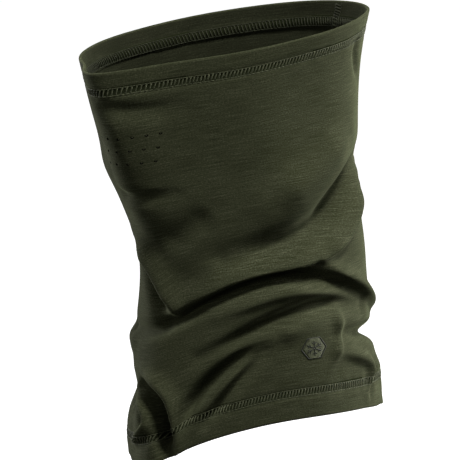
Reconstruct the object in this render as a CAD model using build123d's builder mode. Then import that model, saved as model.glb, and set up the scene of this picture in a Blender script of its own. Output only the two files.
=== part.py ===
"""Neck gaiter: a knitted tube of thin merino jersey with two turned hems, in the shape a wearer gives it.

Frame: +Z up, -Y the front of the wearer, +X the wearer's left. The origin is the centre of the neck passage
at its narrowest level. Millimetres.

The tube is drawn as a stack of oval stations. Their long axis is turned away from the front-to-back line, and
each station leans, so that the back of the gaiter sits higher than the front. Every layer is the same stack
moved inwards, and every edge is an arc in the plane of the long axis and Z.
"""

from build123d import *
import os
from math import cos, exp, radians, sin, tan

# The cloth, its thread and its tapes
knit = 0.9  # one layer of jersey
air = 0.15  # between two layers that lie on each other
thread = 0.4
tape = 0.3  # the care label and the embroidery backing

# How the ovals lie
oval_turn = 40.0  # their long axis, in degrees from +Y towards +X
lean = 9.4  # their rise towards the back, in degrees
crease_angle = 224.0  # the front crease on the ovals, in degrees from the back end of the long axis
crease_spread = 17.0  # half the angle that the crease takes up
outline_points = 24

# Stations: height, shift along the long axis, half length, half depth, crease as a share of the radius
stations = [
    (-165.0, 4.0, 83.0, 74.0, 0.12),
    (-120.0, 3.0, 82.0, 73.0, 0.12),
    (-60.0, 2.0, 77.0, 68.0, 0.08),
    (0.0, 1.0, 73.0, 63.0, 0.08),
    (50.0, -9.0, 80.0, 62.0, 0.16),
    (100.0, -15.0, 87.5, 63.5, 0.23),
    (165.0, -15.0, 102.0, 66.0, 0.25),
]

# Edges: height on the Z axis, how far the middle stands above the two ends, and the rise beyond the lean
upper_height = 131.0
upper_rise = 0.5
upper_tilt = 0.0
lower_height = -132.0
lower_rise = 20.0
lower_tilt = 0.1
edge_half = 85.0  # half the length over which a rise is measured
reach = 130.0  # past every surface of the tube

# Hems and seams: each row of cover stitches is one band, as wide as the gauge of its needles
upper_hem = 16.0  # from the edge to the turned layer's raw edge
lower_hem = 20.0
stitch_inset = 1.0  # from the raw edge to the band
stitch_width = 5.2
seam_gap = 0.3
seam_turn = 8.0  # the back seam, in degrees from +Y towards +X
seam_margin = 22.0  # from the seam's bands to the two edges

# Breathing holes over the mouth, beside the front crease
hole_counts = (7, 6, 5)
hole_radius = 0.75
hole_pitch = 9.2
hole_row_pitch = 8.9
first_hole_row = 44.0  # below the upper edge
hole_shift = 11.0  # from the foremost point to the middle of a row, towards the wearer's left
hole_depth = 8.0

# Embroidered mark on the wearer's left, and the backing behind it
emblem_radius = 9.5
emblem_along = 41.0  # along the long axis
emblem_height = -62.0
emblem_relief = 0.7
flake_arm = 1.2
flake_length = 13.0
flake_arms = 3
backing_radius = 12.0

# Care label, sewn flat inside the back beside the seam
label_width = 32.0
label_length = 44.0
label_height = -45.0
label_turn = 50.0  # the label's middle, in degrees from +Y towards +X
label_margin = 2.0  # from the label's edge to its stitches
label_stitch = 3.0
label_stitch_pitch = 4.0

long_axis = Vector(sin(radians(oval_turn)), cos(radians(oval_turn)), 0)
far_axis = Vector(-cos(radians(oval_turn)), sin(radians(oval_turn)), 0)
near_axis = far_axis * -1
side_plane = Plane(origin=(0, 0, 0), x_dir=long_axis, z_dir=near_axis)
slope = tan(radians(lean))
turned = 2 * knit + air  # from the outer surface to the inside of a hem


def bearing(turn):
    """The level direction that is turn degrees from +Y towards +X."""
    return Vector(sin(radians(turn)), cos(radians(turn)), 0)


def station_plane(height, shift):
    """The leaning plane of one station, with x along its long axis and y towards the wearer's right."""
    across = long_axis * cos(radians(lean)) + Vector(0, 0, sin(radians(lean)))
    centre = long_axis * shift + Vector(0, 0, height + shift * slope)
    return Plane(origin=centre, x_dir=across, z_dir=across.cross(far_axis))


def outline(half_length, half_depth, crease):
    """Points of one oval, with the corner that the front crease makes."""
    for i in range(outline_points):
        angle = crease_angle + 360 * i / outline_points
        off_crease = min(angle - crease_angle, crease_angle + 360 - angle) / crease_spread
        swell = 1 + crease * exp(-(off_crease**2))
        yield half_length * swell * cos(radians(angle)), half_depth * swell * sin(radians(angle))


def drape(inset):
    """The solid inside the gaiter's outer surface, moved inwards by inset."""
    with BuildPart() as solid:
        for height, shift, half_length, half_depth, crease in stations:
            with BuildSketch(station_plane(height, shift)):
                with BuildLine():
                    Spline(*outline(half_length - inset, half_depth - inset, crease), periodic=True)
                make_face()
        loft()
    return solid.part


def layer(outside, inside):
    """The shell between two insets, as tall as the stations."""
    with BuildPart() as shell:
        add(drape(outside))
        add(drape(inside), mode=Mode.SUBTRACT)
    return shell.part


def edge_arc(height, rise, tilt):
    """The arc of an edge in the side plane."""
    drop = rise * (reach / edge_half) ** 2
    ends = [(side * reach, height + rise - drop + side * reach * (slope + tilt)) for side in (-1, 1)]
    return ThreePointArc(ends[0], (0, height + rise), ends[1])


def slab(low, high):
    """Everything between two edges, each one given as its height, rise and tilt."""
    with BuildPart() as solid:
        with BuildSketch(side_plane):
            with BuildLine():
                lower = edge_arc(*low)
                upper = edge_arc(*high)
                Line(lower @ 0, upper @ 0)
                Line(lower @ 1, upper @ 1)
            make_face()
        extrude(amount=reach, both=True)
    return solid.part


def below_upper(distance):
    """The edge that runs distance below the upper edge."""
    return upper_height - distance, upper_rise, upper_tilt


def above_lower(distance):
    """The edge that runs distance above the lower edge."""
    return lower_height + distance, lower_rise, lower_tilt


def surface_at(inset):
    """The face of the tube at an inset."""
    return drape(inset).faces().sort_by(SortBy.AREA)[-1]


def loop_at(inset, edge):
    """The closed line that an edge makes on the tube at an inset."""
    height, rise, tilt = edge
    ring = drape(inset).intersect(slab(edge, (height + upper_hem, rise, tilt)))
    return ring.edges().filter_by(lambda side: side.is_closed).sort_by(Axis.Z)[0]


def touch(surface, start, direction):
    """Where a line from start leaves the tube in a direction, and the surface's normal there."""
    hits = surface.find_intersection_points(Axis(start, direction))
    return max(hits, key=lambda hit: hit[0].dot(direction))


def seam_slice(width):
    """An upright slice along the back seam."""
    with BuildPart() as upright:
        with BuildSketch(Plane(origin=(0, 0, 0), x_dir=bearing(seam_turn), z_dir=(0, 0, 1))):
            with Locations((reach / 2, 0)):
                Rectangle(reach, width)
        extrude(amount=2 * reach, both=True)
    return upright.part


def hole_planes(row, count):
    """The planes of one row of breathing holes, counted both ways from its middle."""
    loop = loop_at(0, below_upper(first_hole_row + row * hole_row_pitch))
    surface = surface_at(0)
    foremost = min((i / 400 for i in range(400)), key=lambda share: (loop @ share).Y)
    for i in range(count):
        share = (foremost - (hole_shift + (i - (count - 1) / 2) * hole_pitch) / loop.length) % 1
        point = loop @ share
        yield Plane(origin=point, x_dir=loop % share, z_dir=surface.normal_at(point))


def save(piece, name):
    """Labels a finished piece and writes it."""
    piece.part.label = name
    export_step(piece.part, f"parts/{name}.step")


os.makedirs("parts", exist_ok=True)

# The panel: one piece of jersey, closed by the seam at the back, with the breathing holes
with BuildPart() as knit_panel:
    add(layer(0, knit))
    add(slab(above_lower(0), below_upper(0)), mode=Mode.INTERSECT)
    add(seam_slice(seam_gap), mode=Mode.SUBTRACT)
    for row, count in enumerate(hole_counts):
        with Locations(*hole_planes(row, count)):
            Cylinder(hole_radius, hole_depth, mode=Mode.SUBTRACT)
save(knit_panel, "knit_panel")

# The turned layers of the two hems
with BuildPart() as upper_hem_turn:
    add(layer(knit + air, turned))
    add(slab(below_upper(upper_hem), below_upper(0)), mode=Mode.INTERSECT)
    add(seam_slice(seam_gap), mode=Mode.SUBTRACT)
save(upper_hem_turn, "upper_hem_turn")

with BuildPart() as lower_hem_turn:
    add(layer(knit + air, turned))
    add(slab(above_lower(0), above_lower(lower_hem)), mode=Mode.INTERSECT)
    add(seam_slice(seam_gap), mode=Mode.SUBTRACT)
save(lower_hem_turn, "lower_hem_turn")

# The bands of thread, on the outside and on the inside of each hem and of the back seam
upper_band = slab(below_upper(upper_hem - stitch_inset), below_upper(upper_hem - stitch_inset - stitch_width))
lower_band = slab(above_lower(lower_hem - stitch_inset - stitch_width), above_lower(lower_hem - stitch_inset))
seam_band = seam_slice(stitch_width).intersect(slab(above_lower(seam_margin), below_upper(seam_margin)))
outside = layer(-air - thread, -air)
inside_hem = layer(turned + air, turned + air + thread)
inside_panel = layer(knit + air, knit + air + thread)

with BuildPart() as upper_hem_outer_stitching:
    add(outside)
    add(upper_band, mode=Mode.INTERSECT)
save(upper_hem_outer_stitching, "upper_hem_outer_stitching")

with BuildPart() as upper_hem_inner_stitching:
    add(inside_hem)
    add(upper_band, mode=Mode.INTERSECT)
save(upper_hem_inner_stitching, "upper_hem_inner_stitching")

with BuildPart() as lower_hem_outer_stitching:
    add(outside)
    add(lower_band, mode=Mode.INTERSECT)
save(lower_hem_outer_stitching, "lower_hem_outer_stitching")

with BuildPart() as lower_hem_inner_stitching:
    add(inside_hem)
    add(lower_band, mode=Mode.INTERSECT)
save(lower_hem_inner_stitching, "lower_hem_inner_stitching")

with BuildPart() as back_seam_outer_stitching:
    add(outside)
    add(seam_band, mode=Mode.INTERSECT)
save(back_seam_outer_stitching, "back_seam_outer_stitching")

with BuildPart() as back_seam_inner_stitching:
    add(inside_panel)
    add(seam_band, mode=Mode.INTERSECT)
save(back_seam_inner_stitching, "back_seam_inner_stitching")

# The embroidered mark: a filled hexagon with a plain snow crystal left open in it
emblem_plane = Plane(
    origin=long_axis * emblem_along + Vector(0, 0, emblem_height), x_dir=long_axis, z_dir=near_axis
)
with BuildPart() as emblem_embroidery:
    with BuildSketch(emblem_plane):
        RegularPolygon(emblem_radius, 6)
        with PolarLocations(0, flake_arms, angular_range=180):
            SlotOverall(flake_length, flake_arm, mode=Mode.SUBTRACT)
    extrude(amount=reach)
    add(layer(-air - emblem_relief, -air), mode=Mode.INTERSECT)
save(emblem_embroidery, "emblem_embroidery")

with BuildPart() as emblem_backing:
    with BuildSketch(emblem_plane):
        Circle(backing_radius)
    extrude(amount=reach)
    add(layer(knit + air, knit + air + tape), mode=Mode.INTERSECT)
save(emblem_backing, "emblem_backing")

# The care label, and the stitches along its two short ends
label_plane = Plane(
    origin=(0, 0, label_height), x_dir=bearing(label_turn - 90), z_dir=bearing(label_turn)
)
with BuildPart() as care_label:
    with BuildSketch(label_plane):
        Rectangle(label_width, label_length)
    extrude(amount=reach)
    add(layer(knit + air, knit + air + tape), mode=Mode.INTERSECT)
save(care_label, "care_label")

label_face = surface_at(knit + air + tape)
label_columns = int((label_width - 2 * label_margin) / label_stitch_pitch)
with BuildPart() as care_label_stitches:
    for spot in GridLocations(label_stitch_pitch, label_length - 2 * label_margin, label_columns, 2):
        start = (label_plane.location * spot).position
        point, outwards = touch(label_face, start, label_plane.z_dir)
        clear = point - outwards * (thread / 2 + air)
        with Locations(Plane(origin=clear, x_dir=label_plane.x_dir, z_dir=outwards)):
            Box(label_stitch, thread, thread)
save(care_label_stitches, "care_label_stitches")
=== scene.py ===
"""Looks of a knitted neck gaiter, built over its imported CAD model.

The cloth is one grid: columns run round the tube, rows run from the lower edge to the upper one. It starts
from the same leaning ovals as the CAD panel, and folds are laid on it as crests and valleys. All that is
sewn to the cloth reads its place from that grid. The cloth's lengths are millimetres, and become metres
when a mesh is made; the stage, the lamps and the camera are placed in metres.
"""

from math import cos, pi, radians, sin, tan

import bpy
import numpy as np
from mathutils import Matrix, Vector


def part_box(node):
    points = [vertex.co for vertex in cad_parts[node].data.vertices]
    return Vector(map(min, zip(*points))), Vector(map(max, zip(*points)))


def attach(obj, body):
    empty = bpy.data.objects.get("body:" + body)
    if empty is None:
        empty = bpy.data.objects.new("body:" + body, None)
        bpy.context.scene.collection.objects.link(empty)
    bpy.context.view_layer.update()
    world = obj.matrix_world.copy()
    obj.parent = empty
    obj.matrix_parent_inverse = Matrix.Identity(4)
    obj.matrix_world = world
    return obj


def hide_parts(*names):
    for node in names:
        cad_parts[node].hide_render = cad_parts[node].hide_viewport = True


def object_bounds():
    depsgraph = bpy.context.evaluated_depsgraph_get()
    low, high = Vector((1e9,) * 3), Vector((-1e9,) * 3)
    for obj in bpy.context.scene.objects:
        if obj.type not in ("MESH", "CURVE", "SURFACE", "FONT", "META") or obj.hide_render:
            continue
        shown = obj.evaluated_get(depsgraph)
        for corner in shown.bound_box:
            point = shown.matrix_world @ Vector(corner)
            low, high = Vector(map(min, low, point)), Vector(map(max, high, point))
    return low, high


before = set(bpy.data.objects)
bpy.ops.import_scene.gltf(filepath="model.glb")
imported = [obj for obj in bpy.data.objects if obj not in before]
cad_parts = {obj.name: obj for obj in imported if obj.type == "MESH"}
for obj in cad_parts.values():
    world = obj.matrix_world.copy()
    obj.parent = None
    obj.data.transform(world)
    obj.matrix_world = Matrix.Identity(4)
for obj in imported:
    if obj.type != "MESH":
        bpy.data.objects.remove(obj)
cad_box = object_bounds()

MM = 0.001

# Cloth and thread, as in the CAD
KNIT = 0.9
TURNED = 1.95  # the hem's two layers together
UPPER_HEM = 16.0
LOWER_HEM = 20.0
STITCH_INSET = 3.6  # from a turned layer's raw edge to the middle of its cover stitch
STITCH_PITCH = 2.6
STITCH_WIDTH = 5.2
THREAD = 0.24
BAR_PITCH = 2.1  # one bar of the cover thread
BAR_STEPS = 12
OVER_SHARE = 0.66  # the part of a bar that lies on the cloth
COVER_THREAD = 0.42
NEEDLE_STEPS = 6
NEEDLE_OFFSET = STITCH_WIDTH / 2 + 0.2  # from a seam's middle to each row of straight stitches
ARCH = 0.42  # how far a thread rises over the cloth

# The leaning ovals: their long axis from +Y towards +X, and their rise towards the back
OVAL_TURN = radians(40)
LEAN = radians(9.4)
CREASE = 224.0
CREASE_SPREAD = 17.0
# level, shift along the long axis, half length, half depth, crease as a share of the radius
STATIONS = np.array([
    (-165, 4, 83, 74, 0.12),
    (-120, 3, 82, 73, 0.12),
    (-60, 2, 77, 68, 0.08),
    (0, 1, 73, 63, 0.08),
    (50, -9, 80, 62, 0.16),
    (100, -15, 87.5, 63.5, 0.23),
    (165, -15, 102, 66, 0.25),
])
# level, how far the middle stands above the ends, and the rise beyond the lean
UPPER_EDGE = (131.0, 0.5, 0.0)
LOWER_EDGE = (-132.0, 20.0, 0.1)
EDGE_HALF = 85.0

LONG = np.array([sin(OVAL_TURN), cos(OVAL_TURN), 0])
FAR = np.array([-cos(OVAL_TURN), sin(OVAL_TURN), 0])
ACROSS = LONG * cos(LEAN) + np.array([0, 0, sin(LEAN)])
UP = np.array([0, 0, 1.0])

COLUMNS = 400
ROWS = 252
SEAM = 36.0  # the back seam, in degrees round the oval
ROUND_MM = 1.37  # one degree round the oval, on average
ROW_MM = 1.18  # one row, about, where things are sewn on
COLUMN_MM = 1.22  # one column, about, where things are sewn on

# Folds: points as (degrees round the oval, level), push out of the cloth, drop, reach above and below
FOLDS = [
    # the front crease
    ([(225, 136), (226, 118), (227, 98), (227, 78), (226, 60)], 1.0, 0, 5, 5),
    # the roll of cloth under the chin, and the deep valley that it hangs over
    ([(406, 14), (392, 22), (380, 29)], -4.0, 0, 8, 8),
    ([(368, 35), (358, 36), (346, 30), (330, 19), (314, 9), (297, 4), (284, 1), (270, -1), (256, -2)],
     -11.5, 0, 10, 6),
    ([(337, 62), (320, 48), (302, 36), (284, 30)], 5.5, 0, 14, 12),
    ([(350, 36), (336, 27), (322, 17), (306, 8)], -4.5, 0, 11, 7),
    ([(326, -8), (310, -9), (297, -10), (279, -10), (262, -12), (249, -18), (239, -25), (231, -31)],
     5.0, 4.0, 7, 4),
    ([(340, -50), (317, -33), (305, -25), (291, -19), (279, -17), (265, -20), (251, -25), (239, -32),
      (229, -39), (210, -46), (188, -49)], -9.5, 0, 4, 5),
    ([(322, -38), (297, -28), (275, -29), (253, -38)], 3.5, 1.5, 4, 5),
    ([(338, -56), (320, -46), (302, -41), (285, -44), (273, -48), (261, -54), (244, -63)], -7.5, 0, 4, 6),
    ([(300, -54), (285, -56), (270, -61), (258, -68)], 3.0, 0, 5, 5),
    # the edge on the wearer's right where the upper cloth lies over the lower
    ([(203, 16), (210, 9), (217, 0), (222, -12), (228, -24), (233, -34)], 6.0, 5.0, 8, 3.5),
    ([(190, 8), (203, 0), (212, -11), (219, -24), (225, -37)], -10.0, 0, 4, 7),
    ([(170, -58), (186, -56), (204, -60)], 3.5, 0, 8, 8),
    ([(176, 62), (196, 60), (212, 62)], 2.5, 0, 14, 14),
    # long slanting folds below, on the wearer's right
    ([(282, -57), (268, -63), (256, -72), (246, -83), (240, -95), (236, -110)], -10.0, 0, 4.5, 6),
    ([(276, -66), (264, -80), (256, -93), (248, -106)], -6.0, 0, 4, 4),
    ([(272, -63), (259, -78), (249, -92), (241, -108)], 3.0, 0, 4, 4),
    # the pocket above the lower hem and its two lips
    ([(168, -92), (186, -90), (200, -86)], -7.5, 0, 7, 9),
    ([(205, -96), (212, -102), (210, -110), (200, -117)], -4.0, 0, 4, 4),
    ([(212, -80), (221, -84), (226, -92), (228, -103), (230, -115), (231, -128)], -23.0, 0, 4, 4),
    ([(212, -74), (222, -77), (229, -84), (233, -96), (235, -112), (236, -126)], 6.0, 2.0, 5, 3),
    ([(207, -84), (215, -92), (221, -99), (221, -106), (211, -116), (195, -125)], 5.5, 0, 3.5, 3.5),
    ([(160, -140), (180, -142), (198, -138)], -2.0, -3.0, 12, 12),
    # the folds on the wearer's left
    ([(350, 12), (368, 6), (388, -2), (404, -10)], -5.0, 0, 16, 16),
    ([(352, 22), (345, 14), (332, 0), (317, -8), (309, -12)], 5.5, 1.5, 5, 3.5),
    ([(308, -13), (314, -21), (321, -27), (332, -35), (347, -48), (364, -63), (384, -68)], 5.5, 1.5, 5, 4),
    ([(408, -86), (392, -85), (378, -82), (360, -79), (344, -75), (330, -71), (316, -66)], -9.5, 0, 5, 5),
    ([(317, -48), (317, -58), (316, -68), (314, -76), (309, -86)], 3.5, 0, 4, 4),
    ([(314, -76), (328, -84), (338, -91), (342, -102), (336, -117)], 4.5, 0.5, 4, 4),
    ([(344, -99), (341, -109), (337, -117)], -4.0, 0, 3, 3),
    ([(346, -94), (360, -107), (366, -126)], 3.0, 0, 8, 8),
    ([(344, -124), (362, -127), (380, -128)], 3.5, 0, 7, 7),
    ([(350, -134), (372, -137), (396, -139), (415, -137)], 3.0, 12.0, 18, 18),
    ([(160, -72), (176, -84), (188, -96), (194, -110)], -7.0, 0, 11, 11),
    # soft unevenness of the upper half
    ([(222, 113), (230, 105), (252, 102)], -2.5, 0, 5, 7),
    ([(207, 48), (222, 45), (242, 47)], -3.0, 0, 3, 6),
    ([(226, 8), (242, 20), (257, 32)], -3.0, 0, 8, 8),
    ([(341, 117), (345, 104), (352, 92)], -3.0, 0, 4, 5),
    # the back
    ([(10, -58), (36, -50), (64, -50), (92, -56), (122, -51), (152, -46), (186, -47)], -4.5, 0, 4, 7),
    ([(12, -40), (40, -36), (80, -42), (120, -36), (160, -32)], 3.5, 1.5, 7, 5),
    ([(40, -72), (75, -80), (110, -75)], 2.5, 0, 7, 7),
    ([(20, 12), (55, 4), (95, 8), (130, 2)], -2.5, 0, 9, 8),
    ([(120, -66), (145, -76), (168, -92), (182, -110)], -4.0, 0, 5, 6),
]


def smooth_table(levels):
    """The stations' values at any level, on a curve through the stations."""
    slopes = np.gradient(STATIONS[:, 1:], STATIONS[:, 0], axis=0)
    index = np.clip(np.searchsorted(STATIONS[:, 0], levels) - 1, 0, len(STATIONS) - 2)
    low = STATIONS[index]
    high = STATIONS[index + 1]
    gap = high[..., 0] - low[..., 0]
    t = ((levels - low[..., 0]) / gap)[..., None]
    start = low[..., 1:]
    end = high[..., 1:]
    step = gap[..., None]
    return (
        (2 * t**3 - 3 * t**2 + 1) * start
        + (t**3 - 2 * t**2 + t) * step * slopes[index]
        + (-2 * t**3 + 3 * t**2) * end
        + (t**3 - t**2) * step * slopes[index + 1]
    )


def tube_points(angles, levels):
    """Points of the plain tube."""
    shift, half_length, half_depth, crease = np.moveaxis(smooth_table(levels), -1, 0)
    off = (angles - CREASE + 180) % 360 - 180
    swell = 1 + crease * np.exp(-((off / CREASE_SPREAD) ** 2))
    turn = np.radians(angles)
    centre = shift[..., None] * LONG + (levels + shift * tan(LEAN))[..., None] * UP
    along = (half_length * swell * np.cos(turn))[..., None] * ACROSS
    beside = (half_depth * swell * np.sin(turn))[..., None] * FAR
    return centre + along + beside


def edge_level(angles, edge):
    """The level of an edge at each angle."""
    height, rise, tilt = edge
    along = tube_points(angles, np.full_like(angles, height)) @ LONG
    return height + rise * (1 - (along / EDGE_HALF) ** 2) + tilt * along


def normals_of(points):
    """Outward normals of a grid that closes on itself sideways."""
    right = np.roll(points, -1, 1) - np.roll(points, 1, 1)
    rise = np.gradient(points, axis=0)
    normals = np.cross(right, rise)
    normals /= np.linalg.norm(normals, axis=-1, keepdims=True)
    outward = np.sign((normals * (points - points.mean((0, 1)))).sum(-1).mean())
    return normals * outward


LINE_STEPS = 12  # between two points of a fold line
LINE_ROUNDS = 30  # of smoothing along a fold line
FADE = 0.3  # the share of a fold line over which each end fades
LEAST = 0.25  # a fold's strength at its very ends


def fold_weight(angles, levels, points, above, below):
    """How strongly a fold acts at each point: 1 on its line, fading above, below and at its ends."""
    line = np.array(points, float)
    fine = np.linspace(0, len(line) - 1, LINE_STEPS * (len(line) - 1) + 1)
    line = np.stack([np.interp(fine, range(len(line)), line[:, k]) for k in (0, 1)], -1)
    for _ in range(LINE_ROUNDS):
        line[1:-1] = (line[:-2] + 2 * line[1:-1] + line[2:]) / 4
    across = ((angles[..., None] - line[:, 0] + 180) % 360 - 180) * ROUND_MM
    upward = levels[..., None] - line[:, 1]
    nearest = np.argmin(across**2 + upward**2, -1)
    dx = np.take_along_axis(across, nearest[..., None], -1)[..., 0]
    dy = np.take_along_axis(upward, nearest[..., None], -1)[..., 0]
    way = np.gradient(line * [ROUND_MM, 1], axis=0)
    way /= np.linalg.norm(way, axis=1, keepdims=True)
    way *= np.sign(way[:, :1].sum() or 1)
    side = way[nearest, 0] * dy - way[nearest, 1] * dx
    distance = np.hypot(dx, dy)
    reach = np.where(side > 0, above, below)
    share = nearest / (len(line) - 1)
    ends = np.clip(np.minimum(share, 1 - share) / FADE, 0, 1)
    strength = LEAST + (1 - LEAST) * ends * ends * (3 - 2 * ends)
    return np.exp(-((distance / reach) ** 2)) * strength


def ripple(angles, levels, seed, cells, amount):
    """Smooth random unevenness, the same in each run."""
    rng = np.random.default_rng(seed)
    total = np.zeros_like(angles)
    for _ in range(14):
        turns = rng.integers(1, cells)
        rise = rng.normal(0, cells / 400)
        total += rng.normal() * np.sin(np.radians(angles) * turns + levels * rise + rng.uniform(0, 2 * pi))
    return total * amount / 4


# The grid. Its first column is the back seam.
angles = SEAM + np.arange(COLUMNS) * 360 / COLUMNS
low_level = edge_level(angles, LOWER_EDGE)
high_level = edge_level(angles, UPPER_EDGE)
share = np.linspace(0, 1, ROWS)[:, None]
levels = low_level + share * (high_level - low_level)
angles = np.broadcast_to(angles, levels.shape).copy()
from_upper = high_level - levels
from_lower = levels - low_level

cloth = tube_points(angles, levels)
outward = normals_of(cloth)
push = ripple(angles, levels, 3, 9, 0.9)
drop = np.zeros_like(push)
for points, out, down, above, below in FOLDS:
    weight = fold_weight(angles, levels, points, above, below)
    push += weight * out
    drop += weight * down

# The hems: flat two-layer bands, pressed in a little by their stitches and pulled into small waves
PRESS = 0.7
PUCKER = 0.22  # height of the small waves
PUCKER_REACH = 14.0
EDGE_REACH = 9.0  # a turned edge takes up folds less than the cloth
EDGE_STIFFNESS = 0.35
hems = {
    "upper": (from_upper, UPPER_HEM, UPPER_HEM - STITCH_INSET),
    "lower": (from_lower, LOWER_HEM, LOWER_HEM - STITCH_INSET),
}
for distance, _, middle in hems.values():
    pressed = np.exp(-(((distance - middle) / (0.62 * STITCH_WIDTH)) ** 4))
    push -= PRESS * pressed
    near = np.exp(-(((distance - middle) / PUCKER_REACH) ** 2))
    push += near * ripple(angles, levels, int(middle), 60, PUCKER)
at_edge = np.exp(-((np.minimum(from_upper, from_lower) / EDGE_REACH) ** 2))
push *= 1 - EDGE_STIFFNESS * at_edge
cloth = cloth + outward * push[..., None] - UP * drop[..., None]
for _ in range(2):
    sides = np.roll(cloth, 1, 1) + np.roll(cloth, -1, 1)
    cloth[1:-1] = (2 * cloth[1:-1] + sides[1:-1] + cloth[:-2] + cloth[2:]) / 6
outward = normals_of(cloth)


def at(rows, columns, lift=0.0):
    """Points of the cloth between grid rows and columns, lifted along its normal."""
    rows = np.clip(np.asarray(rows, float), 0, ROWS - 1.001)
    columns = np.asarray(columns, float) % COLUMNS
    r = rows.astype(int)
    c = columns.astype(int)
    fr = (rows - r)[..., None]
    fc = (columns - c)[..., None]
    right = (c + 1) % COLUMNS

    def blend(grid):
        low = grid[r, c] * (1 - fc) + grid[r, right] * fc
        high = grid[r + 1, c] * (1 - fc) + grid[r + 1, right] * fc
        return low * (1 - fr) + high * fr

    return blend(cloth) + blend(outward) * np.asarray(lift)[..., None]


def row_at(distance_grid, distance, columns):
    """The grid row, as a fraction, where a distance from an edge is reached."""
    span = (high_level - low_level)[np.asarray(columns, int) % COLUMNS]
    share_up = distance / span if distance_grid is from_lower else 1 - distance / span
    return share_up * (ROWS - 1)


def normal_at(rows, columns):
    """The cloth's normals between grid rows and columns."""
    return at(rows, columns, 1.0) - at(rows, columns)


def make_mesh(name, points, faces, uvs=None):
    """A mesh object from points in millimetres."""
    mesh = bpy.data.meshes.new(name)
    mesh.from_pydata((np.asarray(points) * MM).tolist(), [], [list(map(int, face)) for face in faces])
    if uvs is not None:
        layer = mesh.uv_layers.new(name="UVMap")
        layer.data.foreach_set("uv", np.asarray(uvs, np.float32).ravel())
    mesh.update()
    mesh.shade_smooth()
    piece = bpy.data.objects.new(name, mesh)
    bpy.context.scene.collection.objects.link(piece)
    return piece


def tube(path, normals, radius, closed=False, sides=6):
    """Points and faces of a round thread along a path."""
    path = np.asarray(path)
    if closed:
        way = np.roll(path, -1, 0) - np.roll(path, 1, 0)
    else:
        way = np.gradient(path, axis=0)
    way /= np.linalg.norm(way, axis=1, keepdims=True) + 1e-9
    beside = np.cross(way, normals)
    beside /= np.linalg.norm(beside, axis=1, keepdims=True) + 1e-9
    above = np.cross(beside, way)
    turn = np.arange(sides) * 2 * pi / sides
    rings = path[:, None] + radius * (
        beside[:, None] * np.cos(turn)[:, None] + above[:, None] * np.sin(turn)[:, None]
    )
    count = len(path)
    faces = []
    for i in range(count if closed else count - 1):
        a = i * sides
        b = (i + 1) % count * sides
        for k in range(sides):
            m = (k + 1) % sides
            faces.append((a + k, b + k, b + m, a + m))
    if not closed:
        faces.append(tuple(range(sides)))
        faces.append(tuple(range((count - 1) * sides, count * sides))[::-1])
    return rings.reshape(-1, 3), faces


def join_tubes(name, tubes):
    """One piece from several tubes."""
    points = []
    faces = []
    start = 0
    for ring_points, ring_faces in tubes:
        points.append(ring_points)
        faces += [tuple(k + start for k in face) for face in ring_faces]
        start += len(ring_points)
    return make_mesh(name, np.concatenate(points), faces)


# Breathing holes: rows of seven, six and five, beside the front crease
HOLE_ROWS = (7, 6, 5)
HOLE_PITCH = 9.2
HOLE_ROW_PITCH = 8.9
FIRST_HOLE_ROW = 44.0
HOLE_SHIFT = 6.5  # from the crease to the middle of a row
HOLE_RADIUS = 0.95
HOLE_BACK_RADIUS = 0.5
# grid steps round a hole
HOLE_SIDES = [(-1, -1), (-1, 0), (-1, 1), (0, 1), (1, 1), (1, 0), (1, -1), (0, -1)]

column_step = np.linalg.norm(np.roll(cloth, -1, 1) - cloth, axis=2)
crease_column = (CREASE - SEAM) / 360 * COLUMNS
holes = []
for row, count in enumerate(HOLE_ROWS):
    below_edge = FIRST_HOLE_ROW + row * HOLE_ROW_PITCH
    nearest_row = int(row_at(from_upper, below_edge, round(crease_column)))
    run = np.concatenate([[0], np.cumsum(np.tile(column_step[nearest_row], 2))])
    row_middle = np.interp(crease_column, range(len(run)), run) + HOLE_SHIFT
    for i in range(count):
        column = np.interp(row_middle + (i - (count - 1) / 2) * HOLE_PITCH, run, range(len(run)))
        holes.append((row_at(from_upper, below_edge, int(column)), column))


def wall_thickness():
    """The cloth's thickness at each grid point: one layer, or two inside a hem."""
    in_hem = (from_upper < UPPER_HEM) | (from_lower < LOWER_HEM)
    return np.where(in_hem, TURNED, KNIT)


# Cloth under the cover stitches, darkened partly for the dark looper thread beneath and partly as painted
# shade between the bars, and the order of the cloth's materials
stitch_gap_shade_mask = np.zeros((ROWS, COLUMNS), bool)
for distance, _, middle in hems.values():
    stitch_gap_shade_mask |= np.abs(distance - middle) < STITCH_WIDTH / 2
# The walls of the breathing holes: a fused cut edge, painted near black as the shade inside each hole
HOLE_WALL_SHADE = 1
# Darker cloth under the cover stitches: partly the dark looper thread beneath, partly painted shade between
# the bars
STITCH_GAP_SHADE = 2
# The inner side: half as bright, partly as the reverse of the knit and partly as painted shade of the tube's
# inside
KNIT_BACK_AND_SHADE = 3

UV_LENGTH = 0.49  # the size of the cloth's texture in metres, round the tube and up it
UV_HEIGHT = 0.296
UV_RIM = 0.001


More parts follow.
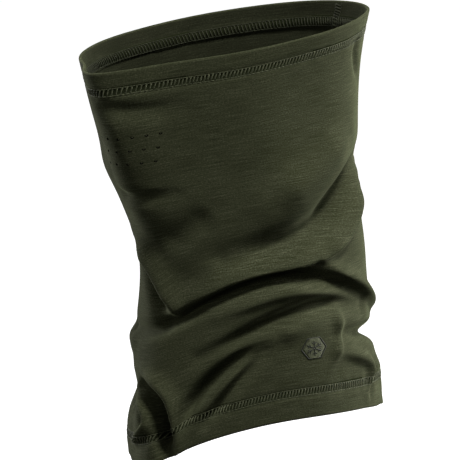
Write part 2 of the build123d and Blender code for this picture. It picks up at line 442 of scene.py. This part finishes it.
def build_cloth():
    """The closed cloth: outer side, inner side, rounded edges and hole walls."""
    outer = cloth.copy()
    inner = cloth - outward * wall_thickness()[..., None]
    row_mm = 1.2
    column_mm = column_step.mean()
    cut = []
    for row, column in holes:
        r = round(row)
        c = round(column) % COLUMNS
        cut.append((r, c))
        for dr, dc in HOLE_SIDES:
            diagonal = np.hypot(dr, dc)
            step_up = dr / diagonal / row_mm
            step_across = dc / diagonal / column_mm
            front = (row + step_up * HOLE_RADIUS, column + step_across * HOLE_RADIUS)
            back = (row + step_up * HOLE_BACK_RADIUS, column + step_across * HOLE_BACK_RADIUS)
            outer[r + dr, (c + dc) % COLUMNS] = at(*front)
            inner[r + dr, (c + dc) % COLUMNS] = at(*back, -KNIT)
    rims = []
    for row in (0, ROWS - 1):
        middle = (outer[row] + inner[row]) / 2
        half = (outer[row] - inner[row]) / 2
        away = outer[row] - outer[1 if row == 0 else ROWS - 2]
        away /= np.linalg.norm(away, axis=1, keepdims=True)
        bulge = np.linalg.norm(half, axis=1, keepdims=True)
        for turn in (45, 90, 135):
            rims.append(middle + half * cos(radians(turn)) + away * bulge * sin(radians(turn)))
    size = ROWS * COLUMNS
    points = np.concatenate([outer.reshape(-1, 3), inner.reshape(-1, 3)] + rims)
    skip = {(r + dr, (c + dc) % COLUMNS) for r, c in cut for dr in (-1, 0) for dc in (-1, 0)}
    faces = []
    uvs = []
    length = UV_LENGTH / COLUMNS
    height = UV_HEIGHT / (ROWS - 1)

    def quad(corners, column, low, high, flip=False):
        """One face, its first corner at the lower left, or at the lower right if it is flipped."""
        faces.append(corners)
        left = column * length
        right = left + length
        if flip:
            left, right = right, left
        uvs.extend([(left, low), (right, low), (right, high), (left, high)])

    for c in range(COLUMNS):
        n = (c + 1) % COLUMNS
        for r in range(ROWS - 1):
            if (r, c) in skip:
                continue
            a = r * COLUMNS + c
            b = r * COLUMNS + n
            quad((a, b, b + COLUMNS, a + COLUMNS), c, r * height, (r + 1) * height)
            a += size
            b += size
            quad((b, a, a + COLUMNS, b + COLUMNS), c, r * height, (r + 1) * height, flip=True)
        for end, row in ((0, 0), (1, ROWS - 1)):
            rim_rows = [2 * size + (3 * end + k) * COLUMNS for k in range(3)]
            chain = [row * COLUMNS] + rim_rows + [size + row * COLUMNS]
            level = row * height
            for one, two in zip(chain, chain[1:]):
                if end:
                    quad((one + c, one + n, two + n, two + c), c, level, level + UV_RIM)
                else:
                    quad((one + n, one + c, two + c, two + n), c, level, level - UV_RIM, flip=True)
    for r, c in cut:
        loop = [((r + dr) * COLUMNS + (c + dc) % COLUMNS) for dr, dc in HOLE_SIDES]
        for k in range(len(loop)):
            a = loop[k]
            b = loop[(k + 1) % len(loop)]
            faces.append((a, b, b + size, a + size))
            uvs.extend([(c * length, r * height)] * 4)
    corners = np.array(faces)
    used = np.unique(corners)
    renumber = np.full(len(points), -1)
    renumber[used] = np.arange(len(used))
    piece = make_mesh("knit_tube", points[used], renumber[corners], uvs)
    piece.data.set_sharp_from_angle(angle=radians(60))
    kinds = np.zeros(len(corners), np.int32)
    face_rows, face_columns = np.divmod(corners[:, 0] % size, COLUMNS)
    on_a_side = corners.max(1) < 2 * size
    # the inner faces, darker partly as the knit's reverse and partly as painted shade
    kinds[(corners.min(1) >= size) & on_a_side] = KNIT_BACK_AND_SHADE
    # painted shade on the cloth under the cover stitches
    kinds[stitch_gap_shade_mask[face_rows, face_columns] & on_a_side] = STITCH_GAP_SHADE
    # the hole walls, painted near black as the shade inside the holes
    kinds[len(corners) - len(HOLE_SIDES) * len(cut):] = HOLE_WALL_SHADE
    piece.data.polygons.foreach_set("material_index", kinds)
    return piece


tube_piece = build_cloth()


def bars(phase):
    """A cover thread's swing across its seam and its height: up over the cloth, then back beneath it."""
    part = phase % 1
    over = part < OVER_SHARE
    swing = np.where(over, 2 * part / OVER_SHARE - 1, 1 - 2 * (part - OVER_SHARE) / (1 - OVER_SHARE))
    height = np.where(
        over,
        ARCH * np.sin(pi * part / OVER_SHARE) - 0.05,
        -0.05 - 0.6 * np.sin(pi * (part - OVER_SHARE) / (1 - OVER_SHARE)),
    )
    return swing, height


def cover_stitch(distance_grid, middle, base, inwards):
    """A hem's cover thread, on the outside or the inside."""
    turns = int(round(column_step[0].sum() / BAR_PITCH))
    phase = np.arange(turns * BAR_STEPS) / BAR_STEPS
    swing, height = bars(phase)
    columns = phase / turns * COLUMNS
    rows = row_at(distance_grid, middle, columns.astype(int)) + swing * (STITCH_WIDTH / 2) / ROW_MM
    lift = base + (-height if inwards else height)
    path = at(rows, columns, lift)
    return tube(path, normal_at(rows, columns), COVER_THREAD, closed=True)


def needle_rows(distance_grid, middle, base, inwards):
    """The two rows of straight stitches along a hem's cover thread."""
    turns = int(round(column_step[0].sum() / STITCH_PITCH))
    phase = np.arange(turns * NEEDLE_STEPS) / NEEDLE_STEPS
    columns = phase / turns * COLUMNS
    arch = ARCH * np.sin(pi * (phase % 1)) - 0.16
    lift = base + (-arch if inwards else arch)
    made = []
    for side in (-1, 1):
        rows = row_at(distance_grid, middle, columns.astype(int)) + side * NEEDLE_OFFSET / ROW_MM
        made.append(tube(at(rows, columns, lift), normal_at(rows, columns), THREAD, closed=True))
    return made


stitched = []
for hem, (distance, _, middle) in hems.items():
    for place, base, inwards in (("outer", 0.0, False), ("inner", -TURNED, True)):
        made = [cover_stitch(distance, middle, base, inwards)] + needle_rows(distance, middle, base, inwards)
        threads = join_tubes(f"{hem}_hem_{place}_threads", made)
        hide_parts(f"{hem}_hem_{place}_stitching")
        stitched.append(threads)


def back_seam(name, low_end, high_end, inwards):
    """The flat seam up the back: a ladder of cover thread between two rows of straight stitches."""
    low = low_end / ROW_MM
    high = ROWS - 1 - high_end / ROW_MM
    made = []
    for side in (-1, 0, 1):
        turns = int((high - low) * ROW_MM / (STITCH_PITCH if side else BAR_PITCH))
        phase = np.arange(turns * BAR_STEPS + 1) / BAR_STEPS
        rows = low + (high - low) * phase / turns
        if side:
            columns = np.full_like(rows, side * NEEDLE_OFFSET / COLUMN_MM)
            height = ARCH * np.sin(pi * (phase % 1)) - 0.14
            radius = THREAD
        else:
            swing, height = bars(phase)
            columns = swing * (STITCH_WIDTH / 2) / COLUMN_MM
            radius = COVER_THREAD
        wall = wall_thickness()[np.clip(rows.astype(int), 0, ROWS - 1), 0]
        lift = -wall - height if inwards else height
        made.append(tube(at(rows, columns, lift), normal_at(rows, columns), radius))
    return join_tubes(name, made)


seam_outer = back_seam("back_seam_outer_threads", 21.0, 19.0, False)
seam_inner = back_seam("back_seam_inner_threads", 21.0, 1.0, True)
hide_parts("back_seam_outer_stitching")
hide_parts("back_seam_inner_stitching")
stitched += [seam_outer, seam_inner]


def cell_of(point):
    """The row and column of the cloth nearest to a point."""
    gap = np.linalg.norm(cloth - point, axis=2)
    row, column = np.unravel_index(np.argmin(gap), gap.shape)
    return int(row), int(column)


def centre_of(node):
    """The middle of a CAD node's box."""
    low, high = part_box(node)
    return (np.array(low) + np.array(high)) / 2 / MM


def on_cloth(place, x, y, lift):
    """A point of the cloth x to the right and y above a place, seen from outside."""
    return at(place[0] + np.asarray(y) / ROW_MM, place[1] + np.asarray(x) / COLUMN_MM, lift)


# The embroidered mark: satin threads across a hexagon, a corded border and a plain snow crystal
emblem_place = cell_of(centre_of("emblem_embroidery"))
EMBLEM_RADIUS = 9.0
SATIN_PITCH = 0.46
SATIN_THREAD = 0.27
SATIN_HALF = 7.6  # from the mark's middle to its last thread
CORD_LIFT = 0.60
emblem_tubes = []
for y in np.arange(-SATIN_HALF, SATIN_HALF + 0.1, SATIN_PITCH):
    half = EMBLEM_RADIUS - 0.9 - abs(y) / np.sqrt(3)
    x = np.linspace(-half, half, 15)
    lift = 0.38 - 0.5 * np.abs(x / half) ** 8
    spot = on_cloth(emblem_place, x, np.full_like(x, y), lift)
    normal = on_cloth(emblem_place, x, np.full_like(x, y), lift + 1) - spot
    emblem_tubes.append(tube(spot, normal, SATIN_THREAD))
fill = join_tubes("emblem_fill", emblem_tubes)


def cord_line(points, radius, lift, closed=False):
    """A wrapped cord along straight runs on the cloth."""
    points = np.array(points, float)
    if closed:
        points = np.vstack([points, points[:1]])
    fine = np.linspace(0, len(points) - 1, 10 * (len(points) - 1) + 1)
    x = np.interp(fine, range(len(points)), points[:, 0])
    y = np.interp(fine, range(len(points)), points[:, 1])
    if closed:
        x = x[:-1]
        y = y[:-1]
    spot = on_cloth(emblem_place, x, y, np.full_like(x, lift))
    normal = on_cloth(emblem_place, x, y, np.full_like(x, lift + 1)) - spot
    return tube(spot, normal, radius, closed=closed, sides=8)


hexagon = [(EMBLEM_RADIUS * cos(radians(60 * k)), EMBLEM_RADIUS * sin(radians(60 * k))) for k in range(6)]
crystal = []
for k in range(6):
    turn = radians(60 * k + 30)
    way = np.array([cos(turn), sin(turn)])
    crystal.append(cord_line([way * 0.4, way * 5.8], 0.34, CORD_LIFT))
    for side in (-1, 1):
        barb = radians(60 * k + 30 + side * 55)
        tip = way * 3.3 + np.array([cos(barb), sin(barb)]) * 1.9
        crystal.append(cord_line([way * 3.3, tip], 0.28, CORD_LIFT))
border = join_tubes("emblem_border", [cord_line(hexagon, 0.42, 0.16, closed=True)] + crystal)
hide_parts("emblem_embroidery")


def patch(name, place, half_width, half_height, lift, thick, round_corners=False):
    """A thin textile patch that lies on the inside of the cloth."""
    across = 24
    up = 30
    x = np.linspace(-half_width, half_width, across + 1)
    y = np.linspace(-half_height, half_height, up + 1)
    grid_x, grid_y = np.meshgrid(x, y)
    if round_corners:
        u = grid_x / half_width
        v = grid_y / half_height
        grid_x = half_width * u * np.sqrt(1 - v * v / 2)
        grid_y = half_height * v * np.sqrt(1 - u * u / 2)
    front = on_cloth(place, grid_x, grid_y, np.full_like(grid_x, lift))
    back = on_cloth(place, grid_x, grid_y, np.full_like(grid_x, lift - thick))
    points = np.concatenate([front.reshape(-1, 3), back.reshape(-1, 3)])
    row = across + 1
    size = row * (up + 1)
    faces = []
    for j in range(up):
        for i in range(across):
            a = j * row + i
            faces.append((a, a + 1, a + row + 1, a + row))
            faces.append((a + size + 1, a + size, a + size + row, a + size + row + 1))
    for i in range(across):
        top = up * row + i
        faces.append((i + 1, i, i + size, i + size + 1))
        faces.append((top, top + 1, top + size + 1, top + size))
    for j in range(up):
        left = j * row
        right = left + across
        faces.append((left, left + row, left + row + size, left + size))
        faces.append((right + row, right, right + size, right + row + size))
    flat = np.stack([grid_x, grid_y], -1).reshape(-1, 2) * MM
    flat = np.concatenate([flat, flat])
    uvs = np.concatenate([flat[list(face)] for face in faces])
    return make_mesh(name, points, faces, uvs)


backing = patch("emblem_backing_cloth", emblem_place, 12.0, 12.0, -KNIT - 0.15, 0.3, round_corners=True)
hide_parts("emblem_backing")
LABEL_HALF = (16.0, 22.0)
LABEL_STITCHES = 10
label_place = cell_of(centre_of("care_label"))
label = patch("care_label_tape", label_place, *LABEL_HALF, -KNIT - 0.2, 0.3)
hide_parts("care_label")
label_tubes = []
for end in (-1, 1):
    phase = np.arange(LABEL_STITCHES * NEEDLE_STEPS + 1) / NEEDLE_STEPS
    x = (2 * phase / LABEL_STITCHES - 1) * (LABEL_HALF[0] - 2)
    y = np.full_like(x, end * (LABEL_HALF[1] - 2))
    lift = -KNIT - 0.5 - (0.3 * np.abs(np.sin(pi * phase)) - 0.1)
    spot = on_cloth(label_place, x, y, lift)
    label_tubes.append(tube(spot, on_cloth(label_place, x, y, lift + 1) - spot, 0.2))
label_threads = join_tubes("care_label_threads", label_tubes)
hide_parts("care_label_stitches")
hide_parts("knit_panel", "upper_hem_turn", "lower_hem_turn")


# Materials
class Nodes:
    """A material's node tree, with short calls to add and join nodes."""

    def __init__(self, name):
        self.material = bpy.data.materials.new(name)
        self.material.use_nodes = True
        self.tree = self.material.node_tree
        self.shader = self.tree.nodes["Principled BSDF"]

    def add(self, kind, **inputs):
        node = self.tree.nodes.new(kind)
        for key, value in inputs.items():
            node.inputs[key.replace("_", " ")].default_value = value
        return node

    def join(self, source, output, target, socket):
        self.tree.links.new(source.outputs[output], target.inputs[socket])

    def scaled(self, scale):
        """Cloth coordinates: across and up the cloth, times a scale, in turns a millimetre."""
        place = self.add("ShaderNodeTexCoord")
        mapping = self.add("ShaderNodeMapping")
        mapping.inputs["Scale"].default_value = [1000 * k for k in scale]
        self.join(place, "UV", mapping, "Vector")
        return mapping

    def ramp(self, source, output, stops):
        node = self.tree.nodes.new("ShaderNodeValToRGB")
        elements = node.color_ramp.elements
        while len(elements) < len(stops):
            elements.new(0.5)
        for element, (spot, colour) in zip(elements, stops):
            element.position = spot
            element.color = (*colour, 1)
        self.join(source, output, node, "Fac")
        return node

    def math(self, operation, first, second):
        node = self.tree.nodes.new("ShaderNodeMath")
        node.operation = operation
        for index, value in enumerate((first, second)):
            if isinstance(value, tuple):
                self.tree.links.new(value[0].outputs[value[1]], node.inputs[index])
            else:
                node.inputs[index].default_value = value
        return node

    def finish(self, roughness, sheen, sheen_roughness, tint, specular):
        inputs = self.shader.inputs
        inputs["Roughness"].default_value = roughness
        inputs["Sheen Weight"].default_value = sheen
        inputs["Sheen Roughness"].default_value = sheen_roughness
        inputs["Sheen Tint"].default_value = (*tint, 1)
        inputs["Specular IOR Level"].default_value = specular
        return self.material


# The dark, middle and light fibres of the yarn, and where each sits on the noise
DARK = (0.0100, 0.0116, 0.0047)
MID = (0.0265, 0.0290, 0.0147)
LIGHT = (0.0700, 0.0740, 0.0440)
FIBRES = ((0.38, DARK), (0.52, MID), (0.67, LIGHT))


def jersey(name, shade):
    """Melange single jersey: fine light fibres along the courses, and columns of small V stitches."""
    n = Nodes(name)
    streaks = n.add("ShaderNodeTexNoise", Scale=1.0, Detail=5.0, Roughness=0.62)
    n.join(n.scaled((0.06, 1.7, 1)), "Vector", streaks, "Vector")
    flecks = n.add("ShaderNodeTexNoise", Scale=1.0, Detail=3.0, Roughness=0.7)
    n.join(n.scaled((1.0, 1.5, 1)), "Vector", flecks, "Vector")
    broad = n.add("ShaderNodeTexNoise", Scale=1.0, Detail=2.0)
    n.join(n.scaled((0.012, 0.04, 1)), "Vector", broad, "Vector")
    both = n.math("MULTIPLY", (streaks, "Fac"), 0.42)
    fine = n.math("MULTIPLY", (flecks, "Fac"), 0.50)
    wide = n.math("MULTIPLY", (broad, "Fac"), 0.08)
    total = n.math("ADD", (both, "Value"), (fine, "Value"))
    total = n.math("ADD", (total, "Value"), (wide, "Value"))
    stops = [(spot, tuple(shade * part for part in tint)) for spot, tint in FIBRES]
    colour = n.ramp(total, "Value", stops)
    n.join(colour, "Color", n.shader, "Base Color")
    wales = n.add("ShaderNodeTexWave", Scale=1.0, Distortion=0.6, Detail=1.0)
    n.join(n.scaled((0.42, 0.0, 0)), "Vector", wales, "Vector")
    courses = n.add("ShaderNodeTexWave", Scale=1.0, Distortion=0.8, Detail=1.0)
    courses.bands_direction = "Y"
    n.join(n.scaled((0.02, 0.48, 0)), "Vector", courses, "Vector")
    knit = n.math("MULTIPLY", (wales, "Fac"), (courses, "Fac"))
    fuzz = n.math("MULTIPLY", (total, "Value"), 1.6)
    height = n.math("ADD", (knit, "Value"), (fuzz, "Value"))
    bump = n.add("ShaderNodeBump", Strength=0.35, Distance=0.0002)
    n.join(height, "Value", bump, "Height")
    n.join(bump, "Normal", n.shader, "Normal")
    return n.finish(0.95, 0.10, 0.35, (0.72, 0.80, 0.42), 0.05)


def thread(name, dark, light, roughness, sheen):
    """Twisted thread, with its colour varying a little along it."""
    n = Nodes(name)
    place = n.add("ShaderNodeTexCoord")
    twist = n.add("ShaderNodeTexNoise", Scale=900.0, Detail=2.0)
    n.join(place, "Object", twist, "Vector")
    colour = n.ramp(twist, "Fac", [(0.35, dark), (0.65, light)])
    n.join(colour, "Color", n.shader, "Base Color")
    bump = n.add("ShaderNodeBump", Strength=0.4, Distance=0.0002)
    n.join(twist, "Fac", bump, "Height")
    n.join(bump, "Normal", n.shader, "Normal")
    return n.finish(roughness, sheen, 0.5, (0.80, 0.86, 0.6), 0.15)


def plain(name, colour):
    """One even matt colour."""
    n = Nodes(name)
    n.shader.inputs["Base Color"].default_value = (*colour, 1)
    return n.finish(1.0, 0, 0.5, (1, 1, 1), 0)


def woven(name, dark, light, pitch):
    """A fine woven tape, warp over weft."""
    n = Nodes(name)
    warp = n.add("ShaderNodeTexWave", Scale=1.0)
    n.join(n.scaled((0.16 / pitch, 0, 0)), "Vector", warp, "Vector")
    weft = n.add("ShaderNodeTexWave", Scale=1.0)
    weft.bands_direction = "Y"
    n.join(n.scaled((0, 0.16 / pitch, 0)), "Vector", weft, "Vector")
    cross = n.math("MULTIPLY", (warp, "Fac"), (weft, "Fac"))
    colour = n.ramp(cross, "Value", [(0.0, dark), (0.8, light)])
    n.join(colour, "Color", n.shader, "Base Color")
    bump = n.add("ShaderNodeBump", Strength=0.5, Distance=0.0002)
    n.join(cross, "Value", bump, "Height")
    n.join(bump, "Normal", n.shader, "Normal")
    return n.finish(0.6, 0.2, 0.5, (0.9, 0.9, 0.8), 0.3)


# The threads inside the tube are about half as bright as the outer ones: painted shade of the tube's inside
inside_thread = thread("inside_thread", (0.008, 0.009, 0.004), (0.022, 0.024, 0.012), 0.8, 0.05)
seam_thread = thread("seam_thread", (0.018, 0.021, 0.009), (0.050, 0.054, 0.027), 0.7, 0.12)
mark_thread = thread("mark_thread", (0.024, 0.027, 0.012), (0.056, 0.061, 0.032), 0.6, 0.1)
cord_thread = thread("mark_cord", (0.005, 0.006, 0.004), (0.012, 0.013, 0.009), 0.5, 0.1)
looks = [
    (tube_piece, jersey("melange_jersey", 1.0), "jersey"),
    (fill, mark_thread, "emblem_thread"),
    (border, cord_thread, "emblem_thread"),
    (backing, woven("fused_backing", (0.02, 0.022, 0.014), (0.05, 0.052, 0.036), 0.6), "backing"),
    (label, woven("label_tape", (0.012, 0.013, 0.010), (0.034, 0.036, 0.028), 0.35), "label"),
    (label_threads, seam_thread, "thread"),
]
for piece in stitched:
    # threads inside the tube take the thread with painted shade
    looks.append((piece, inside_thread if "inner" in piece.name else seam_thread, "thread"))
for piece, material, slot in looks:
    piece.data.materials.append(material)
    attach(piece, "root")
# The cloth's further materials, in the order of the three indexes above: the hole walls near black as
# painted shade, painted shade under the cover stitches, and the inner side, darker partly as the knit's
# reverse and partly as painted shade
tube_piece.data.materials.append(plain("hole_wall_shade", (0.0015, 0.0015, 0.001)))
tube_piece.data.materials.append(plain("stitch_gap_shade_jersey", (0.011, 0.013, 0.006)))
tube_piece.data.materials.append(jersey("knit_back_and_shade", 0.5))

# Floor, backdrop, light and camera
low, high = (np.array(corner) for corner in cad_box)
cad_middle = (low + high) / 2
SIDE = 30.0
FLOOR_GAP = 0.45
ground = low[2] - FLOOR_GAP


def stage_piece(name, points, faces):
    """A plain pale stage surface that throws no light of its own onto the object."""
    mesh = bpy.data.meshes.new(name)
    mesh.from_pydata(points, [], faces)
    piece = bpy.data.objects.new(name, mesh)
    bpy.context.scene.collection.objects.link(piece)
    piece.visible_diffuse = False
    piece.visible_glossy = False
    piece.visible_shadow = False
    mesh.materials.append(studio_white)


studio = Nodes("studio_white")
studio.shader.inputs["Base Color"].default_value = (0.5, 0.5, 0.5, 1)
studio.shader.inputs["Emission Color"].default_value = (1, 1, 1, 1)
studio.shader.inputs["Emission Strength"].default_value = 0.9
studio_white = studio.finish(1.0, 0, 0.5, (1, 1, 1), 0)
square = [(-SIDE, -SIDE), (SIDE, -SIDE), (SIDE, SIDE), (-SIDE, SIDE)]
floor_points = [(x, y, ground) for x, y in square]
stage_piece("floor", floor_points, [(0, 1, 2, 3)])
wall_points = floor_points + [(x, y, ground + SIDE) for x, y in square]
walls = [(k, (k + 1) % 4, (k + 1) % 4 + 4, k + 4) for k in range(4)]
stage_piece("backdrop", wall_points, walls + [(4, 5, 6, 7)])

world = bpy.data.worlds.new("studio")
bpy.context.scene.world = world
world.use_nodes = True
background = world.node_tree.nodes["Background"]
background.inputs["Color"].default_value = (1, 1, 1, 1)
background.inputs["Strength"].default_value = 0.05

VIEW_TURN = radians(50)
VIEW_RISE = radians(14)
toward = Vector((sin(VIEW_TURN) * cos(VIEW_RISE), -cos(VIEW_TURN) * cos(VIEW_RISE), sin(VIEW_RISE)))
right = Vector((cos(VIEW_TURN), sin(VIEW_TURN), 0))


def area_light(name, place, size, power):
    """A soft square light that looks at the object."""
    lamp = bpy.data.lights.new(name, "AREA")
    lamp.shape = "SQUARE"
    lamp.size = size
    lamp.energy = power
    holder = bpy.data.objects.new(name, lamp)
    bpy.context.scene.collection.objects.link(holder)
    holder.location = place
    aim = Vector(cad_middle) - Vector(place)
    holder.rotation_euler = aim.to_track_quat("-Z", "Y").to_euler()


area_light("rim_right", right * 1.6 - toward * 0.5 + Vector((0, 0, 0.6)), 0.8, 74)
area_light("rim_left", right * -1.3 - toward * 0.9 + Vector((0, 0, 0.3)), 0.9, 34)
area_light("overhead", toward * 0.9 + right * 0.6 + Vector((0, 0, 1.6)), 0.45, 84)
area_light("front", toward * 1.7 - right * 1.1 + Vector((0, 0, 0.2)), 0.6, 9)

lens = bpy.data.cameras.new("camera")
camera = bpy.data.objects.new("camera", lens)
bpy.context.scene.collection.objects.link(camera)
DISTANCE = 6.0
FRAME_WIDTH = 0.2944  # what the frame takes in at the object's middle
AIM_SHIFT = -0.0118  # sideways, from the origin
lens.sensor_width = 36.0
lens.lens = lens.sensor_width * DISTANCE / FRAME_WIDTH
aim = right * AIM_SHIFT
camera.location = aim + toward * DISTANCE
camera.rotation_euler = (-toward).to_track_quat("-Z", "Y").to_euler()
bpy.context.scene.camera = camera
bpy.context.scene.view_settings.view_transform = "Standard"
